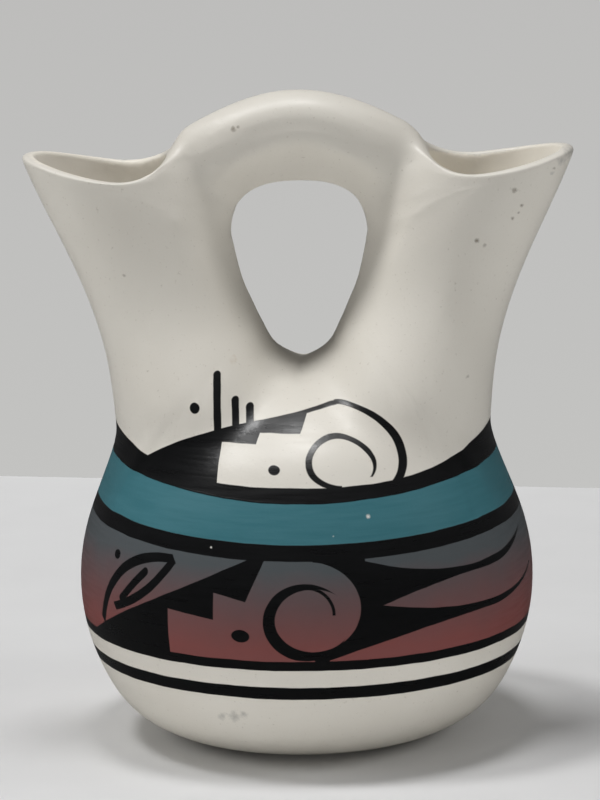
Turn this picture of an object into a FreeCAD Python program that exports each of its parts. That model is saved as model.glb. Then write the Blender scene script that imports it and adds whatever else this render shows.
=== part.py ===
import FreeCAD, Part
import math
import os

# Wedding vase: one slip-cast piece with a round belly, two leaning necks and an arched handle.
# Lengths are in mm. X runs from spout to spout, -Y is the painted front, +Z is up.
# The origin is the centre of the flat foot.

# Driving dimensions
foot_radius = 37.0
belly_radius = 74.3
belly_height = 50.0
waist_radius = 61.4
waist_height = 109.0
spout_reach = 88.8
spout_height = 192.0
rim_dip = 7.0
rim_dip_at = 57.5
mouth_inner_end = 42.0
neck_half_depth_low = 43.0
neck_half_depth_rim = 27.0
wall = 4.5

# Arched handle: a round bead with a thin drafted web below it
arch_top = 211.5
bead_radius = 8.5
arch_bend = 25.0
arch_slope = 0.68
web_half_depth = 6.0

# Window between the necks, where the two halves of the mould met: the depth of the arch over it, and its
# radii from straight down to straight up
window_crown = 29.6
window_radii = (33.0, 26.4, 21.3, 19.8, 20.3, 23.5, 26.8, 26.4, 25.4)
window_draft_bottom = 0.17
window_draft_side = 0.42
window_draft_top = 2.3
window_edge_radius = 0.8
window_crease_crisp = 1.6
window_crease_soft = 4.0

# Softness of the joins, in square mm of half-depth
belly_neck_blend = 550.0
bead_neck_blend = 260.0
bead_web_blend = 22.0

# Rim: the lip is slightly crowned, and its inner edge is rounded
lip_crown = 1.3
lip_edge_blend = 200.0
lip_inner_radius = 1.6

# Where the bead and the web run out beside the mouths
root_inset = 6.5
root_steepness = 1.5

# Where the necks and the web fade into the belly, and how fast
neck_fade_rise = 30.0
neck_fade = 1.2
web_fade_drop = 3.3
web_fade = 0.5
web_top_fade = 2.5

# Hollow inside
floor_thickness = 6.0
floor_corner = 4.0
belly_wall = 5.5
crotch_cover = 3.2
crotch_wall = 9.5
cavity_shoulder = 24.7
cavity_crown = 6.0
cavity_rounding = 3.0
neck_inner_wall = 5.3

# Control net of the outer skin: rays round the window, steps from window to outline
rays = 128
steps = 32
patches = 8
rays_at_tip = 2.0
rays_at_mouth = 1.5
tip_spread = 3.0
mouth_spread = 8.0
mouth_turn = 10.0
points_per_turn = 11.0
line_points = 400

# Levels that follow from the sizes above
window_height = arch_top - window_crown - window_radii[-1]
crotch_height = window_height - window_radii[0]
belly_top = crotch_height + crotch_cover
cavity_top = belly_top - crotch_wall
rim_dip_height = spout_height - rim_dip
root_start = mouth_inner_end - root_inset
beyond_skin = arch_top + belly_radius


def spline(places, values):
    """A smooth function of one number through the given pairs."""
    curve = Part.BSplineCurve()
    points = [FreeCAD.Vector(v, p, 0) for p, v in zip(places, values)]
    curve.interpolate(Points=points, Parameters=[float(p) for p in places])
    low = float(places[0])
    high = float(places[-1])

    def at(place):
        return curve.value(min(max(place, low), high)).x
    return at


def soft_max(a, b, k):
    blend = max(k - abs(a - b), 0.0) / k
    return max(a, b) + blend * blend * k / 4.0


def soft_min(a, b, k):
    return -soft_max(-a, -b, k)


def shares(low, high, parts):
    """Values that lie at the given shares of the way from low to high."""
    return [low + (high - low) * part for part in parts]


# Belly: a surface of revolution that rounds over below the crotch of the necks
belly = spline(
    [-floor_thickness * 2]
    + shares(0, belly_height, (0, 0.04, 0.1, 0.2, 0.34, 0.53, 0.75, 1))
    + shares(belly_height, belly_top, (0.183, 0.353, 0.444, 0.549, 0.667, 0.784, 0.876, 0.941, 1, 1.18)),
    [-foot_radius]
    + shares(foot_radius, belly_radius, (0, 0.228, 0.416, 0.603, 0.743, 0.866, 0.96, 1))
    + shares(waist_radius, belly_radius, (0.915, 0.63, 0.4, 0.023))
    + shares(0, waist_radius, (0.891, 0.695, 0.484, 0.265, 0, -0.73)))

# Necks: outer line, inner line and half-depth, at levels from the waist to the spouts
neck_outer = spline(
    shares(waist_height, spout_height,
           (-0.83, -0.35, -0.17, 0, 0.181, 0.337, 0.494, 0.651, 0.807, 0.952, 1.145)),
    [waist_radius - 7.4, waist_radius - 3.2, waist_radius - 1.2]
    + shares(waist_radius, spout_reach, (0, 0.068, 0.188, 0.362, 0.571, 0.792, 0.98, 1.184)))
neck_inner = spline(
    shares(waist_height, spout_height,
           (-0.83, -0.35, -0.108, 0.06, 0.181, 0.253, 0.398, 0.554, 0.711, 0.831, 0.952, 1.145)),
    shares(0, mouth_inner_end,
           (-0.333, -0.286, -0.167, 0, 0.107, 0.214, 0.412, 0.54, 0.629, 0.738, 0.881, 1.071)))
neck_depth = spline(
    shares(waist_height, spout_height,
           (-0.83, -0.35, -0.108, 0.012, 0.169, 0.325, 0.482, 0.651, 0.807, 0.952, 1.145)),
    shares(neck_half_depth_rim, neck_half_depth_low,
           (1, 1.063, 1, 0.906, 0.719, 0.531, 0.375, 0.238, 0.113, 0, 0)))


# Rim line of a mouth in the middle plane, against distance from the middle
rim = spline(
    [mouth_inner_end - 14.0, mouth_inner_end - 3.0]
    + shares(mouth_inner_end, rim_dip_at, (0.168, 0.548))
    + shares(rim_dip_at, spout_reach, (0, 0.24, 0.633, 1, 1.45)),
    [rim_dip_height + 17.0, rim_dip_height + 7.4, rim_dip_height + 3.0, rim_dip_height + 0.5]
    + shares(rim_dip_height, spout_height, (0, 0.186, 0.686, 1.057, 1.571)))


def bead_line(x):
    """Height of the centre line of the arched bead."""
    return arch_top - bead_radius - arch_slope * (math.sqrt(x * x + arch_bend ** 2) - arch_bend)


def body_depth_squared(x, z):
    """Square of the half-depth of the body over a point of the middle plane, before the window."""
    x = abs(x)
    r = belly(z)
    round_part = r * abs(r) - x * x
    outer = neck_outer(z)
    inner = neck_inner(z)
    half = (outer - inner) / 2.0
    middle = (outer + inner) / 2.0
    depth = neck_depth(z)
    near = depth * depth * (1.0 - ((x - middle) / half) ** 2)
    far = depth * depth * (1.0 - ((x + middle) / half) ** 2)
    fade = neck_fade * max(0.0, belly_height + neck_fade_rise - z) ** 2
    necks = soft_max(near, far, belly_neck_blend) - fade
    lid = neck_half_depth_rim ** 2 / lip_crown * (rim(x) - z)
    necks = soft_min(necks, lid, lip_edge_blend)
    body = soft_max(round_part, necks, belly_neck_blend)
    slope = arch_slope * x / math.sqrt(x * x + arch_bend ** 2)
    off = (z - bead_line(x)) / math.sqrt(1.0 + slope * slope)
    tail = root_steepness * max(0.0, x - root_start) ** 2
    bead = bead_radius ** 2 - off * off - tail
    foot_fade = web_fade * max(0.0, crotch_height - web_fade_drop - z) ** 2
    web = web_half_depth ** 2 - web_top_fade * max(0.0, off) ** 2 - tail - foot_fade
    handle = soft_max(bead, web, bead_web_blend)
    return soft_max(body, handle, bead_neck_blend)


def window_draft(side):
    """Run-out of the window wall for each mm of depth; side is -1 at the bottom and 1 at the top."""
    low = math.log(window_draft_bottom)
    mid = math.log(window_draft_side)
    high = math.log(window_draft_top)
    return math.exp(mid + (high - low) / 2.0 * side + ((high + low) / 2.0 - mid) * side * side)


# The window's half is mirrored to close it; the second coordinate only keeps equal radii apart
ring = window_radii + window_radii[-2:0:-1]
window_curve = Part.BSplineCurve()
window_curve.interpolate(
    Points=[FreeCAD.Vector(r, (-1) ** i, 0) for i, r in enumerate(ring)], PeriodicFlag=True,
    Parameters=[float(i) for i in range(len(ring) + 1)])


def window_radius(angle):
    turn = (angle + math.pi / 2.0) / (2.0 * math.pi) * len(ring)
    return window_curve.value(turn % len(ring)).x


def section(angle):
    """Front half of the cut through the body along one ray from the window's centre."""
    across = math.cos(angle)
    up = math.sin(angle)
    inner = window_radius(angle)
    draft = window_draft(up)
    soft = window_crease_crisp + (window_crease_soft - window_crease_crisp) * max(0.0, up)

    def depth_squared(s):
        return body_depth_squared(s * across, window_height + s * up)

    outer = beyond_skin
    while depth_squared(outer) <= 0.0:
        outer -= 1.0
    low = outer
    high = outer + 1.0
    while high - low > 1e-9:
        middle = (low + high) / 2.0
        if depth_squared(middle) > 0.0:
            low = middle
        else:
            high = middle
    outer = low

    def depth_at(s):
        run = max(0.0, s - inner)
        face = math.sqrt(max(depth_squared(s), 0.0))
        side_wall = math.sqrt(2.0 * window_edge_radius * run + (run / draft) ** 2)
        return max(0.0, soft_min(face, side_wall, min(soft, 2.0 * face, 2.0 * side_wall) + 1e-6))

    line = []
    for i in range(line_points + 1):
        s = inner + (outer - inner) * (1.0 - math.cos(math.pi * i / line_points)) / 2.0
        line.append((s, depth_at(s)))
    line[0] = (inner, 0.0)
    line[-1] = (outer, 0.0)

    # Walk along the line, spending more control points where it turns
    travel = [0.0]
    heading = math.pi / 2.0
    turning = []
    lengths = []
    for i in range(line_points):
        ds = line[i + 1][0] - line[i][0]
        dy = line[i + 1][1] - line[i][1]
        new = math.atan2(dy, ds)
        turning.append(abs(new - heading))
        lengths.append(math.hypot(ds, dy))
        heading = new
    for i in range(line_points):
        travel.append(travel[-1] + lengths[i] + points_per_turn * turning[i])
    picked = []
    j = 0
    for i in range(1, steps):
        goal = travel[-1] * i / steps
        while travel[j + 1] < goal:
            j += 1
        part = (goal - travel[j]) / (travel[j + 1] - travel[j])
        s = inner + (outer - inner) * (1.0 - math.cos(math.pi * (j + part) / line_points)) / 2.0
        picked.append((s, depth_at(s)))
    return [line[0]] + picked + [line[-1]]


def ray_angles():
    """Angles from straight down to straight up, closer together where they cross the spout."""
    tip = math.degrees(math.atan2(spout_height - window_height, spout_reach))
    fine = 1800
    total = [0.0]
    for i in range(fine):
        degrees = -90.0 + 180.0 * (i + 0.5) / fine
        at_tip = rays_at_tip * math.exp(-((degrees - tip) / tip_spread) ** 2)
        at_mouth = rays_at_mouth * math.exp(-((degrees - tip - mouth_turn) / mouth_spread) ** 2)
        total.append(total[-1] + 1.0 + at_tip + at_mouth)
    angles = []
    j = 0
    for i in range(rays // 2 + 1):
        goal = total[-1] * i / (rays // 2)
        while j < fine - 1 and total[j + 1] < goal:
            j += 1
        part = (goal - total[j]) / (total[j + 1] - total[j])
        angles.append(math.radians(-90.0 + 180.0 * (j + part) / fine))
    return angles


def skin():
    """Closed outer skin as one smooth surface round the window and round each section."""
    angles = ray_angles()
    halves = [section(angle) for angle in angles]
    net = []
    for i in range(rays):
        index = i if i <= rays // 2 else rays - i
        side = 1.0 if i <= rays // 2 else -1.0
        across = side * math.cos(angles[index])
        up = math.sin(angles[index])
        front = [FreeCAD.Vector(s * across, -y, window_height + s * up) for s, y in halves[index]]
        back = [FreeCAD.Vector(p.x, -p.y, p.z) for p in front[-2:0:-1]]
        net.append(front + back)
    around = len(net[0])
    surface = Part.BSplineSurface()
    surface.buildFromPolesMultsKnots(
        net, [1] * (rays + 1), [1] * (around + 1), list(range(rays + 1)), list(range(around + 1)),
        True, True, 3, 3)
    return surface


def skin_patches(surface):
    """The skin as a closed shell of smaller faces that share their edges."""
    around = 2 * steps
    faces = []
    for i in range(patches):
        for j in range(patches):
            patch = surface.copy()
            patch.segment(
                rays * i / patches, rays * (i + 1) / patches, around * j / patches, around * (j + 1) / patches)
            faces.append(patch.toShape())
    shell = Part.makeShell(faces)
    shell.sewShape()
    return shell


body = Part.makeSolid(skin_patches(skin()))
if body.Volume < 0:
    body.reverse()

# Flat foot
below = Part.makeBox(
    2 * spout_reach, 2 * spout_reach, belly_height, FreeCAD.Vector(-spout_reach, -spout_reach, -belly_height))
body = body.cut(below)


def bore(side):
    """Passage of one neck, from the belly out through the mouth."""
    rings = []
    levels = (-0.205, -0.06, 0.084, 0.229, 0.373, 0.518, 0.663, 0.807, 0.952, 1.12)
    for z in shares(waist_height, spout_height, levels):
        outer = neck_outer(z) - wall
        inner = neck_inner(z) + neck_inner_wall
        depth = neck_depth(z) - wall
        middle = (outer + inner) / 2.0
        half = (outer - inner) / 2.0
        oval = Part.Ellipse(FreeCAD.Vector(0, 0, 0), max(half, depth), min(half, depth)).toShape()
        if depth > half:
            oval.rotate(FreeCAD.Vector(0, 0, 0), FreeCAD.Vector(0, 0, 1), 90)
        oval.translate(FreeCAD.Vector(side * middle, 0, z))
        rings.append(Part.Wire([oval]))
    return Part.makeLoft(rings, True, False)


def belly_cavity():
    """Inside of the belly, one wall thickness in from the outside."""
    stations = [
        (floor_thickness, foot_radius - floor_corner), (floor_thickness + 1.0, foot_radius + floor_corner)]
    levels = (0.045, 0.1, 0.18, 0.28, 0.396, 0.523, 0.64, 0.739, 0.82, 0.892)
    for z in shares(floor_thickness, cavity_top, levels):
        stations.append((z, belly(z) - belly_wall))
    stations.append((cavity_top - cavity_rounding, cavity_shoulder))
    stations.append((cavity_top, cavity_crown))
    rings = [Part.Wire([Part.makeCircle(r, FreeCAD.Vector(0, 0, z))]) for z, r in stations]
    return Part.makeLoft(rings, True, False)


body = body.cut(belly_cavity())
body = body.cut(bore(1)).cut(bore(-1))

# Round the inner edge of each lip, which is where the bore comes out near the rim
neck_top = rim_dip_height - 2 * wall
mouths = []
for face in body.Faces:
    reach = face.BoundBox
    front_to_back = reach.YMax - reach.YMin > neck_half_depth_rim
    if front_to_back and reach.ZMin > belly_height and reach.ZMax > rim_dip_height:
        mouths += [edge for edge in face.Edges if edge.BoundBox.ZMin > neck_top]
body = body.makeFillet(lip_inner_radius, mouths)

os.makedirs("parts", exist_ok=True)
body.exportStep("parts/vase.step")
print("valid", body.isValid(), "solids", len(body.Solids), "volume", round(body.Volume))
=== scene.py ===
import math

import bmesh
import bpy
import numpy as np
from mathutils import Matrix, Vector


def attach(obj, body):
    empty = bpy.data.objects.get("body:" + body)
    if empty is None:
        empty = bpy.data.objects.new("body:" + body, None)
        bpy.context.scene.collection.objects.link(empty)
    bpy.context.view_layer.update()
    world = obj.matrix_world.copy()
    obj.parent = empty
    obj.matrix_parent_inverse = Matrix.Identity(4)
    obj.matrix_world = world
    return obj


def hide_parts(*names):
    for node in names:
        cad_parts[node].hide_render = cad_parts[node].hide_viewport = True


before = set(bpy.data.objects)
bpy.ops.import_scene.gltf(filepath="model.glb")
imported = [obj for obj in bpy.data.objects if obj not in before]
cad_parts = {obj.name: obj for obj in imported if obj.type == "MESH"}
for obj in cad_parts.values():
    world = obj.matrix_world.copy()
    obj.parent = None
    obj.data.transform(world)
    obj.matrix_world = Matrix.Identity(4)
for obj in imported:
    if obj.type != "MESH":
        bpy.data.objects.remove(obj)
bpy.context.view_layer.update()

# Camera: a little over two metres away and above the mouths, as the photograph was taken
AIM_HEIGHT = 0.105
CAMERA_DISTANCE = 2.2
CAMERA_ELEVATION = math.radians(12.6)
CAMERA_AZIMUTH = math.radians(2.0)
CAMERA_ROLL = math.radians(1.27)
# Height of what the picture shows at the vase, and how far its middle lies from the aim
FRAME_HEIGHT_AT_AIM = 0.26037
FRAME_RIGHT = -0.00106
FRAME_UP = 0.00407
SENSOR = 36.0

# Millimetres in a metre: the vase is shaped in metres and painted in millimetres
MM = 1000.0
# Triangle corners closer than this are one point of the clay
SAME_POINT = 2e-6

# A neck's bore: how far its middle line is from the vase's middle, against the height
NECK_LEVELS = (0.15, 0.172, 0.192)
NECK_MIDDLES = (0.045, 0.054, 0.064)
# A mouth's rim: its height, against the distance from the vase's middle
RIM_PLACES = (0.036, 0.042, 0.0475, 0.0575, 0.070, 0.0888)
RIM_LEVELS = (0.193, 0.190, 0.1875, 0.1855, 0.188, 0.1925)

# Necks drawn in from front and back, as a share of their depth: most above the belly, a little less at the
# mouths, and not at all on the arch between them
DRAW_IN = 0.26
DRAW_IN_EASED = 0.06
DRAW_IN_START = 0.112
DRAW_IN_FULL = 0.150
DRAW_IN_END = 0.190
ARCH_START = 0.148
ARCH_FULL = 0.184
ARCH_SIDE = 0.024
MOUTH_SIDE = 0.052

# Bores, which close in below the rim by a share of their depth, so that their walls lean back
BORE_FLARE = 0.42
BORE_FLARE_DEPTH = 0.034

# Rims, lifted in their dip: by how much, how much more on the right and less on the left, where along the
# rim, and how far to each side of there
RIM_LIFT = 0.0024
RIM_LIFT_RIGHT = 0.00045
RIM_LIFT_PLACE = 0.054
RIM_LIFT_SPREAD = 0.015

# Top line of the arch: its crown, its fall per metre to the side, and how broadly the crown bends
ARCH_TOP = 0.2115
ARCH_SLOPE = 0.68
ARCH_BEND = 0.025
# The arch swells by a share of its depth: all over down to the web, more in the bead under its top line, and
# less and less between two distances from the middle
SWELL_ALL = 0.28
WEB_START = 0.018
WEB_FULL = 0.027
SWELL_BEAD = 0.55
BEAD_DEPTH = 0.0155
BEAD_SPREAD = 0.0042
SWELL_SIDE = 0.024
SWELL_SIDE_END = 0.042

# Lower end of the window, widened by a share: between which heights, and how far to the side
WINDOW_WIDER = 0.27
WINDOW_RISE_START = 0.108
WINDOW_RISE_END = 0.122
WINDOW_FALL_START = 0.1245
WINDOW_FALL_END = 0.136
WINDOW_MIDDLE = 0.002
WINDOW_SIDE = 0.026

# Roots of the arch, rubbed smooth: where, how far from there, how hard, how often, and how much the bores
# are spared
ROOT_PLACE = 0.038
ROOT_LEVEL = 0.179
ROOT_WIDTH = 0.013
ROOT_HEIGHT = 0.023
ROOT_RUB = 0.6
ROOT_ROUNDS = 60
BORE_SPARED = 0.7

# The painting is laid out in millimetres, and is rolled out flat from this radius
PAINT_RADIUS = 73.5
# The bands sink to the right by this share of the way there
BAND_TILT = 0.013
# Softness of a painted edge, and how far a colour runs on under the black that borders it
EDGE_SOFTNESS = 0.22
UNDER_BLACK = 0.5

# Bands: height at the front, and how much they rise under the spouts
STRIPE_LOW = 27.0
STRIPE_TOP = 31.3
BASE_TOP = 37.2
FIELD_LOW = 40.4
COLLAR = 72.5
COLLAR_RISE = 2.6
TEAL_LOW = 77.5
TEAL_LOW_RISE = 2.4
TEAL_TOP = 89.4
TEAL_TOP_RISE = 4.8
SHOULDER = 94.0
SHOULDER_RISE = 10.6

# Patterns of the clay and the paint, in patches to the metre
CLOUDS = 32.0
GROG = 900.0
SPRAY = 60.0
STREAKS = (60.0, 60.0, 700.0)
WAVER = 90.0
RAGGED = 700.0
# Painted lines waver within this many metres
WAVER_REACH = 0.0006
# How much the edges of the wear are broken up, as a share of a mark's radius
RAGGED_REACH = 1.6
# Level of the grog's pattern at which a grain starts to show, and how fast it does
GROG_SHOWS = 0.66
GROG_SHARPNESS = 4.0
# The sprayed field: where its change of colour starts, how high it is, and how patchy
SPRAY_LOW = 44.0
SPRAY_HEIGHT = 26.0
SPRAY_PATCHY = 0.3

# Roughness of the rubbed slip, how much smoother the teal and the black are, and how much streaks change it
SLIP_ROUGHNESS = 0.4
TEAL_SMOOTHER = 0.04
BLACK_SMOOTHER = 0.08
STREAK_ROUGHNESS = 0.3
# Relief in tenths of a millimetre: the black's thickness, streaks in the black and the teal, clouds and grog
RELIEF_UNIT = 0.0001
RELIEF_STRENGTH = 0.35
BLACK_RELIEF = 0.5
STREAK_RELIEF = 1.5
CLOUD_RELIEF = 2.0
GROG_RELIEF = 0.9
# Refraction and shine of a thin acrylic film
PAINT_IOR = 1.48
PAINT_SPECULAR = 0.45

# Colours, the first one where the pattern is low and the second one where it is high
SLIP = ("#e2ded5", "#d8d3c9")
GROG_GRAIN = "#b9b2a6"
# Bare clay inside the mouths: warmer than the slip as the clay is, and painted paler as painted light on the
# shaded hollows
BARE_CLAY_PAINTED_PALE = "#ece6da"
SPRAYED = ("#824845", "#515659")
TEAL = ("#346973", "#467a84")
BLACK = ("#060607", "#101113")

# Wear: places in millimetres with a radius
STAINS = (
    (-21.0, -31.0, 129.0, 1.7), (-17.0, -32.0, 131.5, 0.9))
SCUFFS = (
    (88.0, -5.0, 191.0, 3.2), (85.0, -9.0, 189.0, 2.2), (82.0, -12.0, 185.5, 0.9),
    (-22.0, -62.0, 20.0, 2.4), (-19.0, -62.0, 21.0, 1.8), (-26.0, -60.0, 19.5, 1.6))
PITS = (
    (-20.0, -10.0, 201.0, 1.0), (-18.6, -10.0, 201.5, 0.8), (-27.0, -24.0, 144.0, 0.9),
    (-25.5, -24.0, 143.0, 0.7), (-56.0, -24.0, 156.0, 0.8), (22.0, -17.0, 143.0, 0.6),
    (70.0, -19.0, 181.5, 1.2), (72.0, -18.0, 176.0, 0.8), (71.0, -18.0, 173.5, 0.7),
    (69.0, -18.0, 172.0, 0.7), (57.5, -23.0, 165.5, 1.0), (60.0, -23.0, 163.8, 0.9),
    (82.5, -12.0, 187.0, 0.7), (54.0, -28.0, 122.0, 0.8))
CHIPS = (
    (22.0, -62.0, 85.0, 0.75), (11.0, -68.0, 80.0, 0.4), (-28.0, -64.0, 76.0, 0.35),
    (-89.0, -4.0, 190.0, 1.2))
# Stains are thin and brown, scuffs are grey rubs, pits are dark spots and chips show pale clay: each with its
# colour and how strongly it covers
MARKS = (
    (STAINS, "#b39a76", 0.35), (SCUFFS, "#8d8c89", 0.55), (PITS, "#7f7566", 0.85), (CHIPS, "#e9e6df", 0.9))
# The marks are placed as seen from the front, so their depth counts for less
MARK_DEPTH_SHARE = 0.25

# Table top: half its width, and two points of its far edge, which stands a little askew behind the vase
TABLE_HALF = 1.4
EDGE_LEFT = Vector((-0.129, 0.363, 0.0))
EDGE_RIGHT = Vector((0.099, 0.329, 0.0))
# Its two close whites, the white of the light that it throws back, and the grey that gloss shows of it
TABLE_WHITE = ("#dddddd", "#d8d8d8")
TABLE_GIVES = "#f9f9f8"
TABLE_IN_GLOSS = "#404040"
# Faint patches of the table to the metre
TABLE_GRAIN = 40.0
TABLE_ROUGHNESS = 0.8

# Oval area lamps, all aimed at the middle of the vase: name, place, width, depth, power in watts, and
# whether the gloss of the vase shows them. Two hang overhead and two stand far out at the sides
LAMP_AIM = Vector((0.0, 0.0, 0.1))
SOFT_LAMPS = (
    ("ceiling_lamp", (-0.05, 0.04, 2.0), 0.5, 0.4, 14.2, True),
    ("ceiling_lamp_left", (-0.78, 0.0, 1.7), 0.35, 0.35, 10.6, True),
    ("side_lamp_left", (-1.4, -0.25, 0.9), 0.8, 0.8, 4.8, False),
    ("side_lamp_right", (1.4, -0.25, 0.9), 0.8, 0.8, 4.6, False))
# Bulbs that light the underside of the belly, from low in front and from behind: name, place and power
LOW_BULBS = (("low_lamp_front", (0.0, -0.5, 0.07), 0.95), ("low_lamp_behind", (0.0, 0.6, 0.07), 1.2))
BULB_RADIUS = 0.08

# The room's light level with the vase, which is dim and keeps the black deep, and what is added overhead
ROOM_LIGHT = 0.06
ROOM_LIGHT_OVERHEAD = 0.1
ROOM_WHITE = "#ffffff"
# Past the table the camera sees a pale grey backdrop, painted lighter from 5 to 15 degrees below level as
# painted
# light on its lower part: the lighter share is the change times the sine of the angle above level, less the
# start
BACKDROP_AND_PAINTED_LIGHT = ("#b8b7b6", "#c5c5c3")
BACKDROP_CHANGE = -6.0
BACKDROP_START = 0.55


def colour(code):
    """Linear colour of an sRGB hex code."""
    parts = [int(code[i:i + 2], 16) / 255.0 for i in (1, 3, 5)]
    return tuple(c / 12.92 if c <= 0.04045 else ((c + 0.055) / 1.055) ** 2.4 for c in parts) + (1.0,)


def node(tree, kind, links=(), values=(), **settings):
    """Adds a node. Settings are its properties, and links and values pair an input with what feeds it."""
    made = tree.nodes.new(kind)
    for name, value in settings.items():
        setattr(made, name, value)
    for name, value in values:
        made.inputs[name].default_value = value
    for name, source in links:
        if isinstance(source, bpy.types.Node):
            source = source.outputs[0]
        tree.links.new(source, made.inputs[name])
    return made


class Number:
    """A number that the shader works out at each point, and on which Python's own arithmetic works too."""

    def __init__(self, tree, source):
        self.tree = tree
        self.source = source

    def reach(self, operation, *others, clamp=False):
        """This number and the others, through that operation of Blender's arithmetic."""
        linked = [(0, self.source)]
        fixed = []
        for place, other in enumerate(others, 1):
            if isinstance(other, Number):
                linked.append((place, other.source))
            else:
                fixed.append((place, float(other)))
        made = node(self.tree, "ShaderNodeMath", linked, fixed, operation=operation, use_clamp=clamp)
        return Number(self.tree, made.outputs[0])

    def __add__(self, other):
        return self.reach("ADD", other)

    def __sub__(self, other):
        return self.reach("SUBTRACT", other)

    def __mul__(self, other):
        return self.reach("MULTIPLY", other)

    def __truediv__(self, other):
        return self.reach("DIVIDE", other)

    def __neg__(self):
        return self.reach("MULTIPLY", -1.0)

    def __rsub__(self, other):
        return self.reach("MULTIPLY_ADD", -1.0, other)

    def __abs__(self):
        return self.reach("ABSOLUTE")

    __radd__ = __add__
    __rmul__ = __mul__

    def squared(self):
        return self.reach("MULTIPLY", self)

    def above(self, level):
        """How far the number is over a level, and 0 below it."""
        return (self - level).reach("MAXIMUM", 0.0)

    def at_most(self, level):
        return self.reach("MINIMUM", level)

    def held(self):
        """The number, held between 0 and 1."""
        return self.reach("ADD", 0.0, clamp=True)


def either(first, *others):
    """Distance to the joined shapes, negative inside any of them."""
    for other in others:
        first = first.reach("MINIMUM", other)
    return first


def both(first, *others):
    """Distance to what the shapes share, negative inside all of them."""
    for other in others:
        first = first.reach("MAXIMUM", other)
    return first


def length(x, y):
    return (x.squared() + y.squared()).reach("SQRT")


def oval(x, y, centre, half):
    """Distance to an upright ellipse with that centre and half-axes."""
    return (length((x - centre[0]) / half[0], (y - centre[1]) / half[1]) - 1.0) * min(half)


def beside_chord(x, y, start, end):
    """How far a point is along the line from start to end, how far beside it, and the line's length."""
    run = Vector(end) - Vector(start)
    along = run.normalized()
    dx = x - start[0]
    dy = y - start[1]
    return dx * along.x + dy * along.y, dy * along.x - dx * along.y, run.length


def stroke(x, y, start, end, half_width):
    """Distance to a brush stroke with round ends, from start to end."""
    p, q, chord = beside_chord(x, y, start, end)
    past = p - p.above(0.0).at_most(chord)
    return length(past, q) - half_width


def bow(x, y, start, end, rise, half_width, first=0.0):
    """Distance to a bowed stroke, which stands off the chord from start to end by 4s(1-s) of the rise, where
    s is the share of the way that the stroke has gone. It starts only at the share first of the chord."""
    p, q, chord = beside_chord(x, y, start, end)
    t = p / chord
    s = (t - first) / (1.0 - first)
    line = s * (1.0 - s) * 4.0 * rise
    return both(abs(q - line) - half_width, (first - t) * chord, (t - 1.0) * chord)


def coverage(distance):
    """1 inside a painted shape and 0 outside, over the softness of its edge."""
    return (distance * (-1.0 / EDGE_SOFTNESS) + 0.5).held()


# Figures: their points, half-widths and slopes are laid out in millimetres on the flat painting. Two
# factors of a slanted edge are the parts of its normal, which keep its distance true
def upper_figures(x, y, h, u):
    """The upper register, on the front only: a stepped wedge, rain strokes, two dots and an open scroll."""
    ridge = u * 0.1 + 113.7 - (-29.0 - u).above(0.0).squared() * 0.0045
    steps = either(u + 34.1 + (h - 96.6) * 0.36, both(105.4 - h, u + 20.5), 108.3 - h)
    wedge = both(h - ridge, (u - 0.6) * 0.753 - (h - 108.3) * 0.658, steps)
    rain = either(
        stroke(x, h, (-26.0, 105.0), (-26.2, 125.0), 1.2),
        stroke(x, h, (-20.2, 107.0), (-20.5, 117.3), 1.15),
        stroke(x, h, (-15.6, 109.0), (-15.9, 114.9), 1.25))
    dots = either(oval(x, h, (-33.3, 115.4), (1.6, 1.7)), oval(x, h, (-7.8, 98.9), (1.9, 1.4)))
    scroll_line = both(abs(h - ridge + 0.5) - 0.5, 2.0 - u, u - 25.0)
    scroll_back = both(abs(oval(u, h, (27.5, 103.6), (18.8, 12.3))) - u.above(24.0) * 0.035 - 0.48, 24.5 - u)
    thinning = u.above(20.0).at_most(8.0) * (103.5 - h).above(0.0).at_most(7.0) * 0.009
    eye_ends = either(96.2 - h, u - 17.0)
    scroll_eye = both(abs(oval(u, h, (18.6, 100.6), (14.2, 7.0))) - 0.72 + thinning, eye_ends)
    return both(either(wedge, rain, dots, scroll_line, scroll_back, scroll_eye), y)


def stepped_field(h, u):
    """The slope on the left, and the steps and the round end of the field in the middle."""
    rising = (57.4 - h + (u + 50.0) * 0.469) * 0.905
    tread = both(-45.0 - u, h - 53.9 + (u + 36.0) * 0.1)
    second_tread = both(-28.2 - u, h - 60.8 + (u + 23.0) * 0.2)
    lean = (u + 17.4 - (h - 59.8) * 0.463) * -0.907
    stepped = both(either(tread, second_tread, lean), u - 4.5)
    round_end = both(oval(u, h, (3.8, 58.0), (15.8, 14.3)), 3.1 - u)
    return either(rising, stepped, round_end)


def feather_tips(h, u):
    """Three long feathers on the right, which run on round the back as one field."""
    first_low = (u - 62.0).squared() * 0.0036 + 66.3
    second_top = 64.2 - (u - 66.0).squared() * 0.0042 + u.above(68.0).squared() * 0.012
    second_low = (u - 70.0).squared() * 0.0023 + 53.6 + u.above(80.0).squared() * 0.004
    third_top = 51.3 - (u - 70.0).squared() * 0.0029 + u.above(70.0).squared() * 0.0085
    first = both(first_low - h, 22.0 - u)
    second = both(h - second_top, second_low - h)
    third = both(h - third_top, 9.4 - u)
    return either(first, second, third, 104.0 - u)


def field_figures(h, u):
    """Black figures on the field: a crescent with a hook and a seed, and a leaf."""
    crescent = both(oval(u, h, (1.9, 53.2), (13.6, 12.6)), -oval(u, h, (4.4, 53.9), (12.2, 10.2)))
    hook = both(abs(oval(u, h, (2.6, 56.0), (8.2, 8.4))) - 0.5, 2.0 - u, 55.6 - h)
    seed = oval(u, h, (-19.2, 48.5), (3.0, 2.1))
    leaf = either(
        bow(u, h, (-78.6, 44.6), (-43.9, 70.6), 8.3, 1.7),
        bow(u, h, (-78.6, 45.0), (-43.9, 70.6), -2.9, 1.45, 0.24),
        stroke(u, h, (-66.3, 54.6), (-55.6, 65.0), 1.35),
        oval(u, h, (-71.3, 67.6), (1.7, 1.5)))
    return either(crescent, hook, seed, leaf)


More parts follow.
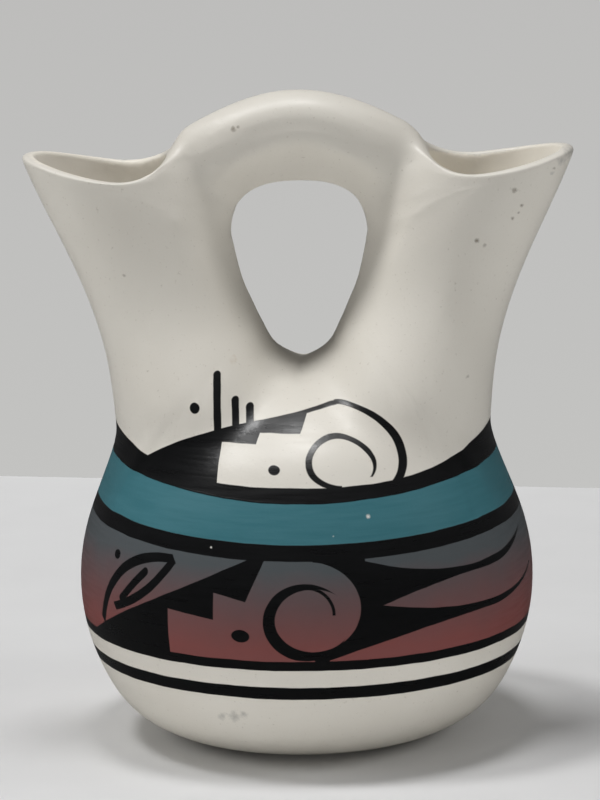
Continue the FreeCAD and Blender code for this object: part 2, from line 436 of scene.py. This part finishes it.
def painting(tree):
    """Lays out the bands and figures as distances to their edges in millimetres, from the height h and the
    way u round the vase. Returns how ink, teal and faded field cover a point, and the height."""
    place = node(tree, "ShaderNodeTexCoord").outputs["Object"]
    waver = node(tree, "ShaderNodeTexNoise", [("Vector", place)], [("Scale", WAVER), ("Detail", 2.0)])
    shift = node(tree, "ShaderNodeVectorMath", [(0, waver.outputs["Color"])], [(1, (0.5, 0.5, 0.5))],
                 operation="SUBTRACT")
    moved = node(tree, "ShaderNodeVectorMath", [(0, shift), (2, place)], [(1, (WAVER_REACH,) * 3)],
                 operation="MULTIPLY_ADD")
    split = node(tree, "ShaderNodeSeparateXYZ", [("Vector", moved)])
    x = Number(tree, split.outputs["X"]) * MM
    y = Number(tree, split.outputs["Y"]) * MM
    h = Number(tree, split.outputs["Z"]) * MM + x * BAND_TILT
    u = x.reach("ARCTAN2", -y) * PAINT_RADIUS

    # The side of a point is 0 in front and behind and 1 under the spouts
    side = x.squared() / (x.squared() + y.squared())
    collar = side * COLLAR_RISE + COLLAR
    teal_low = side * TEAL_LOW_RISE + TEAL_LOW
    teal_top = side * TEAL_TOP_RISE + TEAL_TOP
    shoulder = side * side * SHOULDER_RISE + SHOULDER

    stripe = both(STRIPE_LOW - h, h - STRIPE_TOP)
    fields = either(stepped_field(h, u), feather_tips(h, u))
    fields = both(fields, -field_figures(h, u), FIELD_LOW - h, h - collar)
    lower = both(BASE_TOP - h, h - teal_low, -fields)
    shoulder_band = both(teal_top - h, either(h - shoulder, upper_figures(x, y, h, u)))
    ink = either(stripe, lower, shoulder_band)
    teal = both(teal_low - h, h - teal_top - UNDER_BLACK)
    faded = both(BASE_TOP + UNDER_BLACK - h, h - teal_low - UNDER_BLACK)
    return coverage(ink), coverage(teal), coverage(faded), h


def worn(tree, place, coat):
    """The coat with its stains, scuffs, pits and chips, whose edges are ragged."""
    ragged = node(tree, "ShaderNodeTexNoise", [("Vector", place)], [("Scale", RAGGED), ("Detail", 2.0)])
    edge = (Number(tree, ragged.outputs["Fac"]) - 0.5) * RAGGED_REACH
    flattened = (1.0, MARK_DEPTH_SHARE, 1.0)
    flat = node(tree, "ShaderNodeVectorMath", [(0, place)], [(1, flattened)], operation="MULTIPLY")
    for spots, code, strength in MARKS:
        gaps = []
        for x, y, z, radius in spots:
            there = Vector((x, y * MARK_DEPTH_SHARE, z)) / MM
            gap = node(tree, "ShaderNodeVectorMath", [(0, flat)], [(1, there)], operation="DISTANCE")
            gaps.append(Number(tree, gap.outputs["Value"]) * MM / radius)
        patch = (1.0 - either(*gaps) + edge).held() * strength
        coat = node(tree, "ShaderNodeMix", [("Factor", patch.source), (6, coat.outputs[2])],
                    [(7, colour(code))], data_type="RGBA")
    return coat


# Slip-cast earthenware, rubbed smooth and painted with acrylics: the eye sees a satin cream body, a satin
# teal, a field sprayed from terracotta to grey, and a glossier black put on with a brush
def painted_earthenware():
    material = bpy.data.materials.new("painted_earthenware")
    material.use_nodes = True
    tree = material.node_tree
    tree.nodes.clear()
    ink, teal, faded, h = painting(tree)
    place = node(tree, "ShaderNodeTexCoord").outputs["Object"]

    # Cream slip with faint clouds 31 mm across, and grog 1.1 mm apart, coarser than it is so that it shows
    clouds = node(tree, "ShaderNodeTexNoise", [("Vector", place)], [("Scale", CLOUDS), ("Detail", 4.0)])
    grog = node(tree, "ShaderNodeTexNoise", [("Vector", place)], [("Scale", GROG), ("Detail", 2.0)])
    cream = node(tree, "ShaderNodeMix", [("Factor", clouds.outputs["Fac"])],
                 [(6, colour(SLIP[0])), (7, colour(SLIP[1]))], data_type="RGBA")
    speck = Number(tree, grog.outputs["Fac"]).above(GROG_SHOWS) * GROG_SHARPNESS
    body = node(tree, "ShaderNodeMix", [("Factor", speck.source), (6, cream.outputs[2])],
                [(7, colour(GROG_GRAIN))], data_type="RGBA")

    # The field was sprayed from terracotta below to grey above, with clouds 17 mm across
    spray = node(tree, "ShaderNodeTexNoise", [("Vector", place)], [("Scale", SPRAY), ("Detail", 3.0)])
    rise = (h - SPRAY_LOW) / SPRAY_HEIGHT + (Number(tree, spray.outputs["Fac"]) - 0.5) * SPRAY_PATCHY
    fade = node(tree, "ShaderNodeMix", [("Factor", rise.held().source)],
                [(6, colour(SPRAYED[0])), (7, colour(SPRAYED[1]))], data_type="RGBA")

    # Brush streaks run round the vase, 1.4 mm apart, coarser than a brush's hairs so that they show
    stretch = node(tree, "ShaderNodeMapping", [("Vector", place)], [("Scale", STREAKS)])
    streaks = node(tree, "ShaderNodeTexNoise", [("Vector", stretch)], [("Scale", 1.0), ("Detail", 3.0)])
    teal_paint = node(tree, "ShaderNodeMix", [("Factor", streaks.outputs["Fac"])],
                      [(6, colour(TEAL[0])), (7, colour(TEAL[1]))], data_type="RGBA")
    ink_paint = node(tree, "ShaderNodeMix", [("Factor", streaks.outputs["Fac"])],
                     [(6, colour(BLACK[0])), (7, colour(BLACK[1]))], data_type="RGBA")
    coat = body
    for cover, paint in ((faded, fade), (teal, teal_paint), (ink, ink_paint)):
        coat = node(tree, "ShaderNodeMix",
                    [("Factor", cover.source), (6, coat.outputs[2]), (7, paint.outputs[2])], data_type="RGBA")

    # Inside the mouths the clay is bare and warmer than the rubbed slip, and painted paler than it as painted
    # light on the shaded inner walls
    hollow = node(tree, "ShaderNodeAttribute", attribute_name="hollow").outputs["Fac"]
    coat = node(tree, "ShaderNodeMix", [("Factor", hollow), (6, coat.outputs[2])],
                [(7, colour(BARE_CLAY_PAINTED_PALE))], data_type="RGBA")
    coat = worn(tree, place, coat)

    # Satin slip, smoother paint, and the black smoothest of all
    streak = Number(tree, streaks.outputs["Fac"])
    roughness = SLIP_ROUGHNESS - teal * TEAL_SMOOTHER - ink * BLACK_SMOOTHER
    roughness = roughness + (streak - 0.5) * STREAK_ROUGHNESS
    relief = ink * BLACK_RELIEF + streak * (ink + teal) * STREAK_RELIEF
    relief = relief + Number(tree, clouds.outputs["Fac"]) * CLOUD_RELIEF
    relief = relief + Number(tree, grog.outputs["Fac"]) * GROG_RELIEF
    bump = node(tree, "ShaderNodeBump", [("Height", relief.source)],
                [("Strength", RELIEF_STRENGTH), ("Distance", RELIEF_UNIT)])
    shader = node(tree, "ShaderNodeBsdfPrincipled",
                  [("Base Color", coat.outputs[2]), ("Roughness", roughness.source), ("Normal", bump)],
                  [("IOR", PAINT_IOR), ("Specular IOR Level", PAINT_SPECULAR)])
    node(tree, "ShaderNodeOutputMaterial", [("Surface", shader)])
    return material


# White table top, painted matt: the eye sees an even pale ground with soft shadows. It throws white light up
# at the vase, and its darker image in the gloss keeps the black paint deep
def white_table_top():
    material = bpy.data.materials.new("white_table_top")
    material.use_nodes = True
    tree = material.node_tree
    tree.nodes.clear()
    place = node(tree, "ShaderNodeTexCoord").outputs["Object"]
    grain = node(tree, "ShaderNodeTexNoise", [("Vector", place)], [("Scale", TABLE_GRAIN), ("Detail", 3.0)])
    white = node(tree, "ShaderNodeMix", [("Factor", grain.outputs["Fac"])],
                 [(6, colour(TABLE_WHITE[0])), (7, colour(TABLE_WHITE[1]))], data_type="RGBA")
    ray = node(tree, "ShaderNodeLightPath")
    unseen = node(tree, "ShaderNodeMix", [("Factor", ray.outputs["Is Glossy Ray"])],
                  [(6, colour(TABLE_GIVES)), (7, colour(TABLE_IN_GLOSS))], data_type="RGBA")
    surface = node(tree, "ShaderNodeMix",
                   [("Factor", ray.outputs["Is Camera Ray"]), (6, unseen.outputs[2]), (7, white.outputs[2])],
                   data_type="RGBA")
    shader = node(tree, "ShaderNodeBsdfPrincipled", [("Base Color", surface.outputs[2])],
                  [("Roughness", TABLE_ROUGHNESS)])
    node(tree, "ShaderNodeOutputMaterial", [("Surface", shader)])
    return material


def eased(values, start, end):
    """0 up to start, 1 from end on, and 3t^2 - 2t^3 of the way t in between."""
    t = np.clip((values - start) / (end - start), 0.0, 1.0)
    return t * t * (3.0 - 2.0 * t)


def rim_height(x):
    """Height of the rim at each distance from the middle."""
    return np.interp(np.abs(x), RIM_PLACES, RIM_LEVELS)


def hollow_of(mesh):
    """1 where a neck's skin is below the rim and faces its own middle line, which leans out with height.
    0 elsewhere."""
    count = len(mesh.vertices)
    places = np.zeros(count * 3)
    facing = np.zeros(count * 3)
    mesh.vertices.foreach_get("co", places)
    mesh.vertices.foreach_get("normal", facing)
    x, y, z = places.reshape(-1, 3).T
    middle = np.interp(z, NECK_LEVELS, NECK_MIDDLES) * np.sign(x)
    inward = (x - middle) * facing[0::3] + y * facing[1::3] < 0.0
    in_neck = (z > NECK_LEVELS[0]) & (np.abs(x) > RIM_PLACES[0])
    return (inward & in_neck & (z < rim_height(x))).astype(np.float32)


def draw_in_necks(x, y, z):
    """Scales y by 1 less the share drawn in, which eases in with height above the belly, eases off a little
    towards the mouths, and fades away on the arch."""
    off_arch = 1.0 - (1.0 - eased(np.abs(x), ARCH_SIDE, MOUTH_SIDE)) * eased(z, ARCH_START, ARCH_FULL)
    drawn = DRAW_IN * eased(z, DRAW_IN_START, DRAW_IN_FULL)
    drawn -= DRAW_IN_EASED * eased(z, DRAW_IN_FULL, DRAW_IN_END)
    y *= 1.0 - drawn * off_arch


def swell_arch(x, y, z):
    """Scales y by 1 plus the swelling, which goes by the depth under the arch's top line, a hyperbola with
    its crown in the middle. The swelling is even down to the web, and a bell curve is added at the bead."""
    bend = np.hypot(x, ARCH_BEND)
    top_line = ARCH_TOP - ARCH_SLOPE * (bend - ARCH_BEND)
    under_top = (top_line - z) / np.hypot(1.0, ARCH_SLOPE * x / bend)
    swell = SWELL_ALL * (1.0 - eased(under_top, WEB_START, WEB_FULL))
    swell += SWELL_BEAD * np.exp(-((under_top - BEAD_DEPTH) / BEAD_SPREAD) ** 2)
    y *= 1.0 + swell * (1.0 - eased(np.abs(x), SWELL_SIDE, SWELL_SIDE_END))


def flare_bores(x, y, z, hollow):
    """Scales y of the bores' walls by 1 less a share that eases in with the depth below the rim."""
    y *= 1.0 - BORE_FLARE * eased(rim_height(x) - z, 0.0, BORE_FLARE_DEPTH) * hollow


def lift_rims(x, z):
    """Adds to z a bell curve along each rim, which eases in with height above the belly."""
    bell = np.exp(-0.5 * ((np.abs(x) - RIM_LIFT_PLACE) / RIM_LIFT_SPREAD) ** 2)
    z += (RIM_LIFT + RIM_LIFT_RIGHT * np.sign(x)) * eased(z, DRAW_IN_START, DRAW_IN_END) * bell


def round_window(x, z):
    """Scales x by 1 plus a share that eases in and out with height and eases out to the sides."""
    widened = 1.0 - eased(z, WINDOW_FALL_START, WINDOW_FALL_END)
    widened *= eased(z, WINDOW_RISE_START, WINDOW_RISE_END)
    widened *= 1.0 - eased(np.abs(x), WINDOW_MIDDLE, WINDOW_SIDE)
    x *= 1.0 + WINDOW_WIDER * widened


def soften_roots(mesh, x, y, z, hollow):
    """Rubs the roots of the arch smooth: each point there moves again and again towards the mean of the
    points that it is joined to, by a share that is a bell curve round the middle of the root."""
    pairs = np.zeros(len(mesh.edges) * 2, dtype=np.int64)
    mesh.edges.foreach_get("vertices", pairs)
    start, end = pairs.reshape(-1, 2).T
    count = len(x)
    neighbours = np.bincount(start, minlength=count) + np.bincount(end, minlength=count)
    away = ((np.abs(x) - ROOT_PLACE) / ROOT_WIDTH) ** 2 + ((z - ROOT_LEVEL) / ROOT_HEIGHT) ** 2
    share = ROOT_RUB * np.exp(-away) * (1.0 - BORE_SPARED * hollow)
    for _ in range(ROOT_ROUNDS):
        for line in (x, y, z):
            total = np.bincount(start, line[end], count) + np.bincount(end, line[start], count)
            line += share * (total / neighbours - line)


def hand_finish(mesh):
    """Shapes the cast vase as hands finished it: one step after the other moves all its points."""
    places = np.zeros(len(mesh.vertices) * 3)
    mesh.vertices.foreach_get("co", places)
    x, y, z = places.reshape(-1, 3).T
    hollow = hollow_of(mesh)
    draw_in_necks(x, y, z)
    swell_arch(x, y, z)
    flare_bores(x, y, z, hollow)
    lift_rims(x, z)
    round_window(x, z)
    soften_roots(mesh, x, y, z, hollow)
    mesh.vertices.foreach_set("co", places)
    mesh.update()


def finished_vase(casting, name):
    """The cast vase with its triangles joined, smoothly shaded and finished by hand."""
    mesh = casting.data.copy()
    shape = bmesh.new()
    shape.from_mesh(mesh)
    bmesh.ops.remove_doubles(shape, verts=shape.verts, dist=SAME_POINT)
    for face in shape.faces:
        face.smooth = True
    shape.to_mesh(mesh)
    shape.free()
    hand_finish(mesh)
    hollow = mesh.attributes.new("hollow", "FLOAT", "POINT")
    hollow.data.foreach_set("value", hollow_of(mesh))
    mesh.materials.clear()
    mesh.materials.append(painted_earthenware())
    made = bpy.data.objects.new(name, mesh)
    bpy.context.scene.collection.objects.link(made)
    return made


def table_top():
    """A flat four-sided table top, whose far edge runs through the two points of the edge."""
    run = (EDGE_RIGHT - EDGE_LEFT).normalized() * TABLE_HALF
    middle = (EDGE_LEFT + EDGE_RIGHT) / 2.0
    near_left = (-TABLE_HALF, -TABLE_HALF, 0.0)
    near_right = (TABLE_HALF, -TABLE_HALF, 0.0)
    mesh = bpy.data.meshes.new("table")
    mesh.from_pydata([near_left, near_right, middle + run, middle - run], [], [(0, 1, 2, 3)])
    mesh.materials.append(white_table_top())
    made = bpy.data.objects.new("table", mesh)
    bpy.context.scene.collection.objects.link(made)
    return made


def hang(name, lamp, place, in_gloss):
    """Puts a lamp in the room, where the camera doesn't see it."""
    made = bpy.data.objects.new(name, lamp)
    made.location = place
    made.rotation_euler = (LAMP_AIM - Vector(place)).to_track_quat("-Z", "Y").to_euler()
    made.visible_camera = False
    made.visible_glossy = in_gloss
    bpy.context.scene.collection.objects.link(made)


def pale_room():
    """The room's own light, and the backdrop that only the camera sees."""
    world = bpy.data.worlds.new("room")
    bpy.context.scene.world = world
    world.use_nodes = True
    tree = world.node_tree
    tree.nodes.clear()
    way = node(tree, "ShaderNodeTexCoord").outputs["Generated"]
    upward = Number(tree, node(tree, "ShaderNodeSeparateXYZ", [("Vector", way)]).outputs["Z"])
    brightness = upward.above(0.0) * ROOM_LIGHT_OVERHEAD + ROOM_LIGHT
    sky = node(tree, "ShaderNodeBackground", [("Strength", brightness.source)],
               [("Color", colour(ROOM_WHITE))])
    # Painted light: the backdrop is painted lighter further below level
    lower = (upward * BACKDROP_CHANGE - BACKDROP_START).held()
    backdrop = node(tree, "ShaderNodeMix", [("Factor", lower.source)],
                    [(6, colour(BACKDROP_AND_PAINTED_LIGHT[0])), (7, colour(BACKDROP_AND_PAINTED_LIGHT[1]))], data_type="RGBA")
    seen = node(tree, "ShaderNodeBackground", [("Color", backdrop.outputs[2])], [("Strength", 1.0)])
    camera_ray = node(tree, "ShaderNodeLightPath").outputs["Is Camera Ray"]
    room = node(tree, "ShaderNodeMixShader", [("Fac", camera_ray), (1, sky), (2, seen)])
    node(tree, "ShaderNodeOutputWorld", [("Surface", room)])


vase = finished_vase(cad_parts["vase"], "painted_vase")
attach(vase, "root")
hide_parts("vase")

table = table_top()

for name, place, width, depth, power, in_gloss in SOFT_LAMPS:
    lamp = bpy.data.lights.new(name, "AREA")
    lamp.shape = "ELLIPSE"
    lamp.size = width
    lamp.size_y = depth
    lamp.energy = power
    hang(name, lamp, place, in_gloss)
for name, place, power in LOW_BULBS:
    lamp = bpy.data.lights.new(name, "POINT")
    lamp.shadow_soft_size = BULB_RADIUS
    lamp.energy = power
    hang(name, lamp, place, False)
pale_room()

# The camera looks at the middle of the vase, turned by the roll that the photograph has
camera_data = bpy.data.cameras.new("camera")
camera_data.sensor_width = SENSOR
camera_data.lens = SENSOR * CAMERA_DISTANCE / FRAME_HEIGHT_AT_AIM
camera = bpy.data.objects.new("camera", camera_data)
bpy.context.scene.collection.objects.link(camera)
back = Vector((math.sin(CAMERA_AZIMUTH) * math.cos(CAMERA_ELEVATION),
               -math.cos(CAMERA_AZIMUTH) * math.cos(CAMERA_ELEVATION), math.sin(CAMERA_ELEVATION)))
turn = back.to_track_quat("Z", "Y").to_matrix() @ Matrix.Rotation(-CAMERA_ROLL, 3, "Z")
stand = Vector((0.0, 0.0, AIM_HEIGHT)) + back * CAMERA_DISTANCE + turn @ Vector((FRAME_RIGHT, FRAME_UP, 0.0))
camera.matrix_world = Matrix.Translation(stand) @ turn.to_4x4()
bpy.context.scene.camera = camera
bpy.context.scene.view_settings.view_transform = "Standard"
